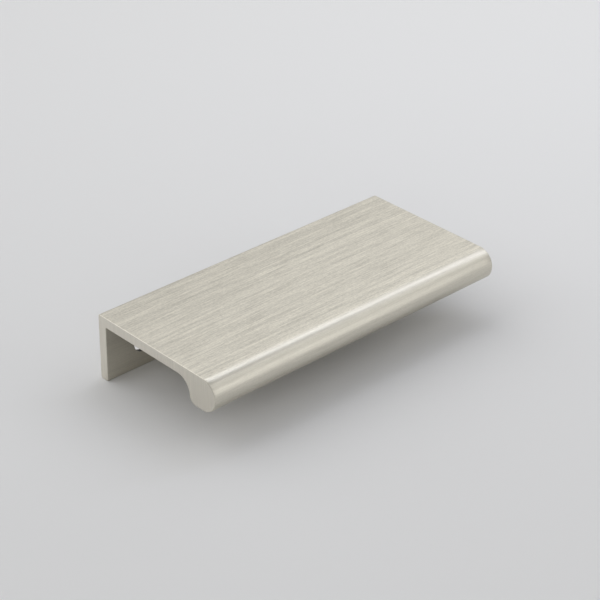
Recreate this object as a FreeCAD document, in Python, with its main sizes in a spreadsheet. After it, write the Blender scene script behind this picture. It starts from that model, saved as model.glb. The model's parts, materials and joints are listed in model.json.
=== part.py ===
"""Tab pull for the upper edge of a drawer or door front.

One aluminium extrusion sawn to length: a flat tab that lies over the edge of the front,
a leg behind the front that takes the two screws, and a round nose with a hollow behind it
for the fingertips. The screw holes are countersunk from the back, where the screws go in.

Millimetres. The origin is midway between the screws, on the face of the leg that meets
the front. +X runs along the pull, -Y out over the front to the nose, and +Z up.
"""
import FreeCAD, Part
import math
import os
import Sketcher

NODE = "tab_pull"
doc = FreeCAD.newDocument(NODE)

# Driving dimensions, each in an aliased cell of the sheet
sheet = doc.addObject("Spreadsheet::Sheet", "Sizes")
driving_dimensions = [
    ("pull_length", 100.0, "length of the sawn extrusion"),
    ("pull_depth", 46.0, "from the back of the leg to the front of the nose"),
    ("tab_wall", 2.9, "thickness of the tab"),
    ("leg_wall", 2.9, "thickness of the leg"),
    ("leg_height", 19.3, "from the top of the tab to the foot of the leg"),
    ("nose_height", 9.4, "from the top of the tab to the bottom of the nose"),
    ("nose_flat", 2.6, "width of the flat under the nose"),
    ("heel_radius", 2.5, "rounding at the back of the nose"),
    ("hollow_radius", 4.5, "fingertip hollow between the nose and the tab"),
    ("inner_radius", 0.5, "inside corner between the tab and the leg"),
    ("back_radius", 0.5, "outside corner between the tab and the leg"),
    ("foot_radius", 0.8, "back corner of the leg's foot"),
    ("foot_front_radius", 0.5, "front corner of the leg's foot"),
    ("end_break", 0.2, "rounding round the sawn ends"),
    ("screw_drop", 11.8, "from the top of the tab down to the screws"),
    ("screw_spacing", 76.2, "between the two screws"),
    ("screw_hole", 5.8, "diameter of each screw hole"),
    ("sink_diameter", 8.6, "diameter of each countersink at the back of the leg"),
    ("sink_angle", 82.0, "full angle of each countersink, in degrees"),
]
for row, (alias, value, meaning) in enumerate(driving_dimensions, start=1):
    sheet.set(f"A{row}", meaning)
    sheet.set(f"B{row}", str(value))
    sheet.setAlias(f"B{row}", alias)
doc.recompute()

body = doc.addObject("PartDesign::Body", NODE)
body.Label = NODE

# Ends and centre of a sketch element, and the sketch's own axes and origin, by their numbers
START, END, CENTRE = range(1, 4)
ACROSS, UP = range(-1, -3, -1)
ORIGIN = (ACROSS, START)


def new_sketch(name, role):
    """A sketch of the body on the plane of the body's origin that has this role."""
    sketch = body.newObject("Sketcher::SketchObject", name)
    plane = next(feature for feature in body.Origin.OriginFeatures if feature.Role == role)
    sketch.AttachmentSupport = [(plane, "")]
    sketch.MapMode = "FlatFace"
    return sketch


def drive(sketch, kind, elements, name, expression):
    """Gives the sketch a named dimension that follows the sheet."""
    value = float(sheet.evalExpression(expression))
    index = sketch.addConstraint(Sketcher.Constraint(kind, *elements, value))
    sketch.renameConstraint(index, name)
    sketch.setExpression(f"Constraints.{name}", expression)


def line(start, end):
    """A straight stretch of an outline between two points of its sketch."""
    return Part.LineSegment(FreeCAD.Vector(*start, 0), FreeCAD.Vector(*end, 0))


def arc(centre, radius, first, last):
    """An arc of an outline, anticlockwise from the first angle to the last, in degrees."""
    circle = Part.Circle(FreeCAD.Vector(*centre, 0), FreeCAD.Vector(0, 0, 1), radius)
    return Part.ArcOfCircle(circle, math.radians(first), math.radians(last))


# Section of the extrusion, seen from its +X end: Y runs across the sketch and Z up.
# The nose is a full round. Its heel and the hollow are two arcs that meet in an S.
section = new_sketch("section", "YZ_Plane")
top = sheet.screw_drop
underside = top - sheet.tab_wall
foot = top - sheet.leg_height
back = sheet.leg_wall
nose_bottom = top - sheet.nose_height
nose_radius = sheet.nose_height / 2
nose_centre = (back - sheet.pull_depth + nose_radius, top - nose_radius)
heel_centre = (nose_centre[0] + sheet.nose_flat, nose_bottom + sheet.heel_radius)
hollow_z = underside - sheet.hollow_radius
centre_distance = sheet.heel_radius + sheet.hollow_radius
lean = math.asin((heel_centre[1] - hollow_z) / centre_distance)
hollow_centre = (heel_centre[0] + centre_distance * math.cos(lean), hollow_z)
lean_degrees = math.degrees(lean)

tab_top = section.addGeometry(line((back, top), (nose_centre[0], top)))
nose = section.addGeometry(arc(nose_centre, nose_radius, 90, 270))
nose_flat = section.addGeometry(line((nose_centre[0], nose_bottom), (heel_centre[0], nose_bottom)))
heel = section.addGeometry(arc(heel_centre, sheet.heel_radius, 270, 360 - lean_degrees))
hollow = section.addGeometry(arc(hollow_centre, sheet.hollow_radius, 90, 180 - lean_degrees))
tab_underside = section.addGeometry(line((hollow_centre[0], underside), (0, underside)))
leg_front = section.addGeometry(line((0, underside), (0, foot)))
leg_foot = section.addGeometry(line((0, foot), (back, foot)))
leg_back = section.addGeometry(line((back, foot), (back, top)))

for relation in [
    ("Tangent", tab_top, END, nose, START),
    ("Tangent", nose, END, nose_flat, START),
    ("Tangent", nose_flat, END, heel, START),
    ("Tangent", heel, END, hollow, END),
    ("Tangent", hollow, START, tab_underside, START),
    ("Coincident", tab_underside, END, leg_front, START),
    ("Coincident", leg_front, END, leg_foot, START),
    ("Coincident", leg_foot, END, leg_back, START),
    ("Coincident", leg_back, END, tab_top, START),
    ("Horizontal", tab_top),
    ("Horizontal", nose_flat),
    ("Horizontal", tab_underside),
    ("Horizontal", leg_foot),
    ("Vertical", leg_front),
    ("Vertical", leg_back),
    ("PointOnObject", leg_front, START, UP),
]:
    section.addConstraint(Sketcher.Constraint(*relation))
for kind, elements, name, expression in [
    ("DistanceY", (*ORIGIN, tab_top, START), "screw_drop", "Sizes.screw_drop"),
    ("DistanceY", (tab_underside, END, tab_top, START), "tab_wall", "Sizes.tab_wall"),
    ("DistanceX", (leg_foot, START, leg_foot, END), "leg_wall", "Sizes.leg_wall"),
    ("DistanceY", (leg_back, START, leg_back, END), "leg_height", "Sizes.leg_height"),
    ("DistanceX", (nose, CENTRE, leg_back, END), "nose_reach", "Sizes.pull_depth - Sizes.nose_height / 2"),
    ("DistanceY", (nose, END, nose, START), "nose_height", "Sizes.nose_height"),
    ("DistanceX", (nose_flat, START, nose_flat, END), "nose_flat", "Sizes.nose_flat"),
    ("Radius", (heel,), "heel_radius", "Sizes.heel_radius"),
    ("Radius", (hollow,), "hollow_radius", "Sizes.hollow_radius"),
]:
    drive(section, kind, elements, name, expression)

extrusion = body.newObject("PartDesign::Pad", "extrusion")
extrusion.Profile = section
extrusion.SideType = "Symmetric"
extrusion.setExpression("Length", "Sizes.pull_length")
doc.recompute()

# Small radii that the die leaves along the corners of the extrusion
SAME_PLACE = 1e-6


def edge_along_pull(shape, y, z):
    """The name of the straight edge that runs along the pull at this Y and Z."""
    for number, edge in enumerate(shape.Edges, start=1):
        offsets = [math.hypot(vertex.Y - y, vertex.Z - z) for vertex in edge.Vertexes]
        if len(offsets) == 2 and max(offsets) < SAME_PLACE:
            return f"Edge{number}"
    raise RuntimeError(f"no edge along the pull at Y {y}, Z {z}")


for name, y, z in [
    ("inner_radius", 0, underside),
    ("back_radius", back, top),
    ("foot_radius", back, foot),
    ("foot_front_radius", 0, foot),
]:
    sharp = body.Tip
    rounded = body.newObject("PartDesign::Fillet", name)
    rounded.Base = (sharp, [edge_along_pull(sharp.Shape, y, z)])
    rounded.setExpression("Radius", f"Sizes.{name}")
    doc.recompute()

# Sawn ends, with their edges broken all the way round
sawn = body.Tip
end_faces = [
    f"Face{number}"
    for number, face in enumerate(sawn.Shape.Faces, start=1)
    if abs(abs(face.CenterOfGravity.x) - sheet.pull_length / 2) < SAME_PLACE
]
end_break = body.newObject("PartDesign::Fillet", "end_break")
end_break.Base = (sawn, end_faces)
end_break.setExpression("Radius", "Sizes.end_break")
doc.recompute()

# Screw holes, drilled and countersunk from the back of the leg
screws = new_sketch("screws", "XZ_Plane")
screws.setExpression("AttachmentOffset.Base.z", "-Sizes.leg_wall")
across = FreeCAD.Vector(sheet.screw_spacing / 2, 0, 0)
left, right = [
    screws.addGeometry(Part.Circle(centre, FreeCAD.Vector(0, 0, 1), sheet.screw_hole / 2))
    for centre in (-across, across)
]
for relation in [
    ("PointOnObject", left, CENTRE, ACROSS),
    ("Symmetric", left, CENTRE, right, CENTRE, UP),
    ("Equal", left, right),
]:
    screws.addConstraint(Sketcher.Constraint(*relation))
drive(screws, "DistanceX", (left, CENTRE, right, CENTRE), "screw_spacing", "Sizes.screw_spacing")
drive(screws, "Diameter", (left,), "screw_hole", "Sizes.screw_hole")
doc.recompute()

undrilled_volume = body.Shape.Volume
screw_holes = body.newObject("PartDesign::Hole", "screw_holes")
screw_holes.Profile = screws
screw_holes.Reversed = True
screw_holes.DrillPoint = "Flat"
screw_holes.HoleCutType = "Countersink"
screw_holes.HoleCutCustomValues = True
for setting, expression in [
    ("Diameter", "Sizes.screw_hole"),
    ("Depth", "Sizes.leg_wall + Sizes.screw_hole"),
    ("HoleCutDiameter", "Sizes.sink_diameter"),
    ("HoleCutCountersinkAngle", "Sizes.sink_angle"),
]:
    screw_holes.setExpression(setting, expression)
doc.recompute()
if body.Shape.Volume >= undrilled_volume:
    raise RuntimeError("the screw holes cut nothing")

# Every feature has to be sound before the solid is written
for feature in doc.Objects:
    if "Invalid" in feature.State or "Error" in feature.State:
        raise RuntimeError(f"{feature.Label} failed: {feature.State}")
if body.Shape.isNull() or not body.Shape.isValid():
    raise RuntimeError(f"{body.Label} has no valid shape")

os.makedirs("parts", exist_ok=True)
body.Shape.exportStep(f"parts/{body.Label}.step")
box = body.Shape.optimalBoundingBox()
extents = f"{box.XLength:.2f} x {box.YLength:.2f} x {box.ZLength:.2f} mm"
print(f"{body.Label}: {extents}, {body.Shape.Volume:.1f} mm3")
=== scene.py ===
import json
import bpy
import numpy as np
from mathutils import Matrix, Vector


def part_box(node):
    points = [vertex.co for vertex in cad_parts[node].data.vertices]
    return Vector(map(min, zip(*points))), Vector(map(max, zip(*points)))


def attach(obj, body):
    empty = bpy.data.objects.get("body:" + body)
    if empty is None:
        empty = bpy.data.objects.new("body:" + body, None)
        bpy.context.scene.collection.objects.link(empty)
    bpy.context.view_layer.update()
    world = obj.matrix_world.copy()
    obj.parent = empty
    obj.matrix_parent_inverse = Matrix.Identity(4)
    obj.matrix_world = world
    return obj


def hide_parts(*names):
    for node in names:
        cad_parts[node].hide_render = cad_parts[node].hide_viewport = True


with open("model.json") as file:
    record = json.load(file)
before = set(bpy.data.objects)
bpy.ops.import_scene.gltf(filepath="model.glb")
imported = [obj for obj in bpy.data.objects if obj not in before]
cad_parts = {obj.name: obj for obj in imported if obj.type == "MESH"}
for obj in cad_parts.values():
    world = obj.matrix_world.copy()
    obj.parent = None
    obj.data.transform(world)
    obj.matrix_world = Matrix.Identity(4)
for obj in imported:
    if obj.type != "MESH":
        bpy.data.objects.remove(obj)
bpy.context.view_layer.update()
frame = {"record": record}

# The pull is one aluminium extrusion, sawn to length and drilled for two screws. Its flat tab lies
# over the edge of a drawer front, its leg is screwed on behind, and its round nose is what the
# fingers hold. It is brushed along its length and plated in satin nickel.
mm = 0.001
lowest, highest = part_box("tab_pull")
half_length = highest.x
nose_front, leg_back = lowest.y, highest.y
foot, top = lowest.z, highest.z
leg_front = 0.0
tab_wall = 2.9 * mm
nose_height = 9.4 * mm
nose_flat = 2.6 * mm
heel_radius = 2.5 * mm
hollow_radius = 4.5 * mm
inner_radius = 0.5 * mm
back_radius = 0.5 * mm
foot_radius = 0.8 * mm
foot_front_radius = 0.5 * mm
end_break = 0.2 * mm

# Screw holes, as the frame's mount gives them, countersunk from the back of the leg. Each has three
# rings from front to back, given by their place in Y and their radius.
screw_mount = next(mount for mount in frame["record"]["mounts"] if mount["name"] == "screw_holes")
screw_x = screw_mount["dims"]["spacing_x_mm"] / 2 * mm
screw_z = screw_mount["pos_m"][2]
hole_radius = screw_mount["dims"]["hole_r_mm"] * mm
sink_radius = 4.3 * mm
sink_half_angle = np.radians(41)
sink_start = leg_back - (sink_radius - hole_radius) / np.tan(sink_half_angle)
hole_rings = ((leg_front, hole_radius), (sink_start, hole_radius), (leg_back, sink_radius))

# Stations along the pull, each with the inset of its section: none between the two ends, and a
# quarter round at each end, where the saw's edge is broken. They lie closer in a patch at each screw.
patch_reach = 6 * mm
patch_slack = 0.006 * mm
middle_steps, patch_steps, end_steps, break_steps = 8, 14, 3, 5
break_turn = np.radians(np.linspace(0, 90, break_steps + 1))
break_x = half_length - end_break * (1 - np.cos(break_turn))
break_inset = end_break * (1 - np.sin(break_turn))
body_marks = np.array([0, screw_x - patch_reach, screw_x + patch_reach, break_x[-1]])
half_body = np.concatenate([
    np.linspace(start, end, steps, endpoint=False)
    for start, end, steps in zip(body_marks, body_marks[1:], (middle_steps, patch_steps, end_steps))
])
station_x = np.concatenate([half_body, break_x[::-1]])
station_x = np.concatenate([-station_x[:0:-1], station_x])
inset = np.concatenate([np.zeros_like(half_body), break_inset[::-1]])
inset = np.concatenate([inset[:0:-1], inset])


def rounding(centre, radius, first, last, steps):
    """A rounded stretch of the section at every station: centre plus radius times the way it faces,
    an angle that turns from first to last degrees. The inset comes off the radius, and the radius
    of a hollow is negative."""
    angle = np.radians(np.linspace(first, last, steps + 1))
    ways = np.stack([np.cos(angle), np.sin(angle)], axis=-1)
    return np.array(centre) + (radius - inset)[:, None, None] * ways


def straight(start, end, steps):
    """A straight stretch of the section at every station: start plus an even share of the way
    from there to end."""
    share = np.linspace(0, 1, steps + 1)[:, None]
    return start[:, None] + share * (end - start)[:, None]


def joined(stretches):
    """Stretches end to end, each one's last point left to the next."""
    return np.concatenate([stretch[:, :-1] for stretch in stretches] + [stretches[-1][:, -1:]], axis=1)


def on_top(points):
    """The points of the top face straight above these points of the underside."""
    return np.stack([points[:, 0], top - inset], axis=-1)


# Rounded stretches of the section, in its own Y and Z
underside = top - tab_wall
nose_radius = nose_height / 2
nose_centre = (nose_front + nose_radius, top - nose_radius)
heel_centre = (nose_centre[0] + nose_flat, top - nose_height + heel_radius)
hollow_z = underside - hollow_radius
s_bend = heel_radius + hollow_radius
lean = np.arcsin((heel_centre[1] - hollow_z) / s_bend)
hollow_centre = (heel_centre[0] + s_bend * np.cos(lean), hollow_z)
lean_degrees = np.degrees(lean)
inner_centre = (leg_front - inner_radius, underside - inner_radius)
back_centre = (leg_back - back_radius, top - back_radius)
foot_front_centre = (leg_front + foot_front_radius, foot + foot_front_radius)
foot_back_centre = (leg_back - foot_radius, foot + foot_radius)
corner_steps, foot_steps, leg_steps, underside_steps, flat_steps = 8, 2, 18, 24, 4
hollow_steps, heel_steps, nose_steps = 26, 26, 36
foot_front_corner = rounding(foot_front_centre, foot_front_radius, -90, -180, corner_steps)
inner_corner = rounding(inner_centre, -inner_radius, -180, -90, corner_steps)
hollow = rounding(hollow_centre, -hollow_radius, -90, -lean_degrees, hollow_steps)
heel = rounding(heel_centre, heel_radius, -lean_degrees, -90, heel_steps)
nose_below = rounding(nose_centre, nose_radius, -90, -180, nose_steps)
foot_back_corner = rounding(foot_back_centre, foot_radius, -90, 0, corner_steps)
back_corner = rounding(back_centre, back_radius, 0, 90, corner_steps)
nose_above = rounding(nose_centre, nose_radius, 90, 180, nose_steps)

# The section from the middle of the foot to the tip of the nose, by its front and by its back,
# step for step alike, so that a ladder of rungs between the two fills each sawn end
foot_middle = (foot_front_corner[:, 0] + foot_back_corner[:, 0]) / 2
section_front = joined([
    straight(foot_middle, foot_front_corner[:, 0], foot_steps),
    foot_front_corner,
    straight(foot_front_corner[:, -1], inner_corner[:, 0], leg_steps),
    inner_corner,
    straight(inner_corner[:, -1], hollow[:, 0], underside_steps),
    hollow,
    heel,
    straight(heel[:, -1], nose_below[:, 0], flat_steps),
    nose_below,
])
section_back = joined([
    straight(foot_middle, foot_back_corner[:, 0], foot_steps),
    foot_back_corner,
    straight(foot_back_corner[:, -1], back_corner[:, 0], leg_steps),
    back_corner,
    straight(back_corner[:, -1], on_top(hollow[:, 0]), underside_steps),
    straight(on_top(hollow[:, 0]), on_top(heel[:, 0]), hollow_steps),
    straight(on_top(heel[:, 0]), on_top(heel[:, -1]), heel_steps),
    straight(on_top(heel[:, -1]), nose_above[:, 0], flat_steps),
    nose_above,
])
rungs = section_front.shape[1] - 1
outline = np.concatenate([section_front, section_back[:, -2:0:-1]], axis=1)
stations, around = outline.shape[:2]
skin_x = np.broadcast_to(station_x[:, None, None], (stations, around, 1))
skin_points = np.concatenate([skin_x, outline], axis=-1).reshape(-1, 3)

# Long faces: four-sided, from each station to the next, apart from a window round each screw
number = np.arange(stations * around).reshape(stations, around)
beside = np.roll(number, -1, axis=1)
long_faces = np.stack([number[:-1], number[1:], beside[1:], beside[:-1]], axis=-1)
is_whole = np.ones((stations - 1, around), bool)
leg_first = foot_steps + corner_steps
leg_last = leg_first + leg_steps

all_points = [skin_points]
window_faces = []
bore_faces = []
sink_faces = []
points_so_far = len(skin_points)
for hole_x in (-screw_x, screw_x):
    near = np.flatnonzero(np.abs(station_x - hole_x) < patch_reach + patch_slack)
    first, last = near[0], near[-1]
    is_whole[first:last, leg_first:leg_last] = False
    is_whole[first:last, around - leg_last:around - leg_first] = False
    along = np.arange(first, last)
    up = np.arange(leg_first, leg_last)
    window_station = np.concatenate(
        [along, np.full_like(up, last), along[::-1] + 1, np.full_like(up, first)]
    )
    window_rung = np.concatenate(
        [np.full_like(along, leg_first), up, np.full_like(along, leg_last), up[::-1] + 1]
    )
    front_window = number[window_station, window_rung]
    back_window = number[window_station, around - window_rung]
    # Rings of the hole: each a radius times the cosine and sine of the window's own angles
    window_x, _, window_z = skin_points[front_window].T
    angle = np.arctan2(window_z - screw_z, window_x - hole_x)
    rings = []
    for ring_y, ring_radius in hole_rings:
        ring_x = hole_x + ring_radius * np.cos(angle)
        ring_z = screw_z + ring_radius * np.sin(angle)
        all_points.append(np.stack([ring_x, np.full_like(angle, ring_y), ring_z], axis=-1))
        rings.append(points_so_far + np.arange(len(angle)))
        points_so_far += len(angle)
    loops = [front_window, *rings, back_window]
    front_band, bore_band, sink_band, back_band = [
        np.stack([near_loop, np.roll(near_loop, -1), np.roll(far_loop, -1), far_loop], axis=-1)
        for near_loop, far_loop in zip(loops, loops[1:])
    ]
    window_faces += [front_band, back_band]
    bore_faces.append(bore_band)
    sink_faces.append(sink_band)

# Sawn ends: rung by rung, with a triangle at the foot and another at the nose
rung = np.arange(1, rungs - 1)
ladder = np.stack([rung, rung + 1, around - rung - 1, around - rung], axis=-1)
ladder_ends = np.array([[0, 1, around - 1], [rungs - 1, rungs, rungs + 1]])
last_station = (stations - 1) * around
sawn_quads = np.concatenate([ladder, last_station + ladder[:, ::-1]])
sawn_triangles = np.concatenate([ladder_ends, last_station + ladder_ends[:, ::-1]])

# One closed mesh, without the points that the windows left over
brushed_faces = np.concatenate([long_faces[is_whole], *window_faces])
sink_faces = np.concatenate(sink_faces)
bore_faces = np.concatenate(bore_faces)
quads = np.concatenate([brushed_faces, sawn_quads, sink_faces, bore_faces])
all_points = np.concatenate(all_points)
used = np.unique(quads)
renumbered = np.zeros(len(all_points), int)
renumbered[used] = np.arange(len(used))
pull_mesh = bpy.data.meshes.new("brushed_tab_pull")
pull_mesh.from_pydata(
    all_points[used].tolist(), [], renumbered[quads].tolist() + renumbered[sawn_triangles].tolist()
)
BRUSHED, SAWN, SUNK, BORE = range(4)
finish_of_face = np.repeat(
    [BRUSHED, SAWN, SUNK, BORE, SAWN],
    [len(brushed_faces), len(sawn_quads), len(sink_faces), len(bore_faces), len(sawn_triangles)],
)
sharp_from = np.radians(30)
pull_mesh.polygons.foreach_set("material_index", finish_of_face)
pull_mesh.shade_smooth()
pull_mesh.set_sharp_from_angle(angle=sharp_from)
pull_mesh.update()
pull = bpy.data.objects.new("brushed_tab_pull", pull_mesh)
bpy.context.scene.collection.objects.link(pull)
flat_faces_lead = pull.modifiers.new("flat_faces_lead", "WEIGHTED_NORMAL")
flat_faces_lead.keep_sharp = True


def add_node(tree, kind, inputs, **settings):
    """A shader node with its settings, and each input either linked from a socket or set to a value."""
    node = tree.nodes.new(kind)
    for name, value in settings.items():
        setattr(node, name, value)
    for name, value in inputs.items():
        if isinstance(value, bpy.types.NodeSocket):
            tree.links.new(value, node.inputs[name])
        else:
            node.inputs[name].default_value = value
    return node


# Brush strokes: long hairlines, short nicks between them, and faint clouds where the belt pressed
# harder. Place runs along the strokes in X, in stroke lengths, and across them in Y and Z. Most of
# the noise lies between its low and its high, and that stretch is spread from 0 to 1.
strokes = bpy.data.node_groups.new("brush_strokes", "ShaderNodeTree")
strokes.interface.new_socket("Place", in_out="INPUT", socket_type="NodeSocketVector")
strokes.interface.new_socket("Lines", in_out="OUTPUT", socket_type="NodeSocketFloat")
strokes.interface.new_socket("Clouds", in_out="OUTPUT", socket_type="NodeSocketFloat")
place = strokes.nodes.new("NodeGroupInput").outputs["Place"]
nick_share = 0.4
nicks_per_stroke = (11.0, 1.0, 1.0)
clouds_per_stroke = 0.2
noise_low, noise_high = 0.3, 0.7
hairlines = add_node(
    strokes, "ShaderNodeTexNoise", {"Vector": place, "Scale": 1.0, "Detail": 2.0, "Roughness": 0.6}
)
nick_place = add_node(
    strokes, "ShaderNodeVectorMath", {0: place, 1: nicks_per_stroke}, operation="MULTIPLY"
)
nicks = add_node(
    strokes, "ShaderNodeTexNoise", {"Vector": nick_place.outputs["Vector"], "Scale": 1.0, "Detail": 1.0}
)
both = add_node(
    strokes,
    "ShaderNodeMix",
    {"Factor": nick_share, "A": hairlines.outputs["Fac"], "B": nicks.outputs["Fac"]},
)
lines = add_node(
    strokes,
    "ShaderNodeMapRange",
    {"Value": both.outputs["Result"], "From Min": noise_low, "From Max": noise_high},
)
pressure = add_node(
    strokes,
    "ShaderNodeTexNoise",
    {"Vector": place, "Scale": clouds_per_stroke, "Detail": 2.0, "Roughness": 0.5},
)
clouds = add_node(
    strokes,
    "ShaderNodeMapRange",
    {"Value": pressure.outputs["Fac"], "From Min": noise_low, "From Max": noise_high},
)
add_node(
    strokes, "NodeGroupOutput", {"Lines": lines.outputs["Result"], "Clouds": clouds.outputs["Result"]}
)

# What the finishes share. The shift is in strokes, so that a light one runs along the place where the
# tab turns into the nose. That stroke is a real brush mark and also a painted highlight along the
# nose's shoulder, where the lamp's highlight lies. A face is flat where its normal's upward part is
# over flat_from.
stroke_depth = 0.003 * mm
highlight_stroke_shift = (0, 11, 0)
flat_from, skim = 0.95, 0.35
bare_tone = 0.5
cloud_share = 0.25
gloss_swing = 0.04


def brushed(name, stroke_size, dark, light, roughness):
    """Brushed metal with strokes of this size along X, Y and Z, in metres: its colour goes from
    dark to light with the lines and a little with the clouds, and its roughness and relief follow
    the lines. The belt bites where a face points straight up, and skims the rest."""
    material = bpy.data.materials.new(name)
    material.use_nodes = True
    tree = material.node_tree
    shader = tree.nodes["Principled BSDF"]
    spot = add_node(tree, "ShaderNodeTexCoord", {})
    laid = add_node(
        tree,
        "ShaderNodeMapping",
        {
            "Vector": spot.outputs["Object"],
            "Scale": [1 / size for size in stroke_size],
            "Location": highlight_stroke_shift,
        },
    )
    marks = add_node(tree, "ShaderNodeGroup", {"Place": laid.outputs["Vector"]}, node_tree=strokes)
    facing = add_node(tree, "ShaderNodeSeparateXYZ", {"Vector": spot.outputs["Normal"]})
    bite = add_node(
        tree,
        "ShaderNodeMapRange",
        {
            "Value": facing.outputs["Z"],
            "From Min": flat_from,
            "From Max": 1.0,
            "To Min": skim,
            "To Max": 1.0,
        },
    )
    lines = add_node(
        tree,
        "ShaderNodeMix",
        {"Factor": bite.outputs["Result"], "A": bare_tone, "B": marks.outputs["Lines"]},
    )
    tones = add_node(
        tree,
        "ShaderNodeMix",
        {"Factor": cloud_share, "A": marks.outputs["Lines"], "B": marks.outputs["Clouds"]},
    )
    shade = add_node(
        tree,
        "ShaderNodeMix",
        {"Factor": bite.outputs["Result"], "A": bare_tone, "B": tones.outputs["Result"]},
    )
    colour = add_node(tree, "ShaderNodeValToRGB", {"Fac": shade.outputs["Result"]})
    colour.color_ramp.elements[0].color = (*dark, 1)
    colour.color_ramp.elements[1].color = (*light, 1)
    gloss = add_node(
        tree,
        "ShaderNodeMapRange",
        {
            "Value": lines.outputs["Result"],
            "To Min": roughness + gloss_swing,
            "To Max": roughness - gloss_swing,
        },
    )
    bump = add_node(
        tree,
        "ShaderNodeBump",
        {"Height": lines.outputs["Result"], "Strength": 1.0, "Distance": stroke_depth},
    )
    tree.links.new(colour.outputs["Color"], shader.inputs["Base Color"])
    tree.links.new(gloss.outputs["Result"], shader.inputs["Roughness"])
    tree.links.new(bump.outputs["Normal"], shader.inputs["Normal"])
    shader.inputs["Metallic"].default_value = 1.0
    return material


# The four finishes, in the order in which the faces count them
nickel_dark, nickel_light = (0.450, 0.429, 0.373), (0.874, 0.832, 0.724)
# The sawn ends are the same nickel as the rest, but their colours are painted about a sixth lighter.
# This is painted light on the ends. Their strokes are also fainter.
sawn_dark_painted_lighter, sawn_light_painted_lighter = (0.60, 0.572, 0.504), (0.92, 0.876, 0.773)
# The bores of the screw holes are coloured near black: painted shade inside the holes.
bore_shade_dark, bore_shade_light = (0.03, 0.028, 0.024), (0.08, 0.075, 0.066)
stroke_length, stroke_width, turned_width = 8 * mm, 0.22 * mm, 0.25 * mm
along_pull = (stroke_length, stroke_width, stroke_width)
up_end = (stroke_length, stroke_width, stroke_length)
in_hole = (stroke_length, turned_width, stroke_length)
for name, stroke_size, dark, light, roughness in (
    ("brushed_nickel", along_pull, nickel_dark, nickel_light, 0.36),
    ("sawn_nickel_painted_lighter", up_end, sawn_dark_painted_lighter, sawn_light_painted_lighter, 0.36),
    ("sunk_nickel", in_hole, nickel_dark, nickel_light, 0.30),
    ("bore_painted_shade", in_hole, bore_shade_dark, bore_shade_light, 0.55),
):
    pull_mesh.materials.append(brushed(name, stroke_size, dark, light, roughness))
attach(pull, "root")
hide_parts("tab_pull")

# The floor is a wide sheet of pale, matt studio paper. It lies level under the foot of the leg and
# runs far out to every side.
floor_reach = 3.0
paper_tone, paper_roughness = 0.80, 0.9
floor_mesh = bpy.data.meshes.new("floor")
floor_corners = [
    (-floor_reach, -floor_reach, foot),
    (floor_reach, -floor_reach, foot),
    (floor_reach, floor_reach, foot),
    (-floor_reach, floor_reach, foot),
]
floor_mesh.from_pydata(floor_corners, [], [(0, 1, 2, 3)])
floor = bpy.data.objects.new("floor", floor_mesh)
bpy.context.scene.collection.objects.link(floor)
paper = bpy.data.materials.new("pale_paper")
paper.use_nodes = True
paper_shader = paper.node_tree.nodes["Principled BSDF"]
paper_shader.inputs["Base Color"].default_value = (paper_tone, paper_tone, paper_tone, 1)
paper_shader.inputs["Roughness"].default_value = paper_roughness
paper_shader.inputs["Specular IOR Level"].default_value = 0.0
floor_mesh.materials.append(paper)

# The light comes from an even pale room and from six softboxes, which hang round the pull and face
# it. Each one's direction and distance run from the origin, its width lies along width_way, and
# sizes are in metres.
room_glow = 0.31
WHITE, COOL_WHITE = (1, 1, 1), (0.97, 1, 1.10)
world = bpy.data.worlds.new("pale_room")
world.use_nodes = True
world.node_tree.nodes["Background"].inputs["Color"].default_value = (*WHITE, 1)
world.node_tree.nodes["Background"].inputs["Strength"].default_value = room_glow
bpy.context.scene.world = world
for name, direction, distance, width_way, width, height, glow, tint in (
    ("key_behind_left", (-0.45, 0.66, 0.60), 1.7, (1, 0, 0), 2.40, 2.40, 0.96, WHITE),
    ("fill_from_left", (-0.66, -0.62, 0.42), 1.7, (0, 0, 1), 1.00, 1.20, 0.80, WHITE),
    ("panel_behind", (0.56, 0.50, 0.64), 0.5, (1, 0, 0), 0.66, 0.30, 0.66, WHITE),
    ("strip_over_nose", (0.602, 0.022, 0.798), 0.435, (0.88, -0.47, 0), 0.45, 0.075, 2.75, COOL_WHITE),
    ("fill_above", (0.48, -0.48, 0.73), 1.0, (1, 0, 0), 0.80, 0.46, 0.68, WHITE),
    ("fill_in_front", (0.50, -0.81, 0.275), 1.5, (1, 0, 0), 0.80, 0.84, 1.00, WHITE),
):
    lamp = bpy.data.lights.new(name, "AREA")
    lamp.shape = "RECTANGLE"
    lamp.size, lamp.size_y = width, height
    # A softbox's power is its glow times pi times its area
    lamp.energy = glow * np.pi * width * height
    lamp.color = tint
    softbox = bpy.data.objects.new(name, lamp)
    back = Vector(direction).normalized()
    across = (Vector(width_way) - back * back.dot(width_way)).normalized()
    softbox.location = back * distance
    softbox.rotation_euler = Matrix((across, back.cross(across), back)).transposed().to_euler()
    bpy.context.scene.collection.objects.link(softbox)

# The camera has a long lens and stands to the left of the pull, in front of its nose and above it,
# at the photograph's viewing angle.
camera_data = bpy.data.cameras.new("camera")
camera_data.sensor_width = 36.0
camera_data.lens = 115.37
camera = bpy.data.objects.new("camera", camera_data)
camera.location = (-302.32 * mm, -341.86 * mm, 265.04 * mm)
camera.rotation_euler = np.radians((59.634, -0.517, -42.865))
bpy.context.scene.collection.objects.link(camera)
bpy.context.scene.camera = camera
bpy.context.scene.view_settings.view_transform = "Standard"
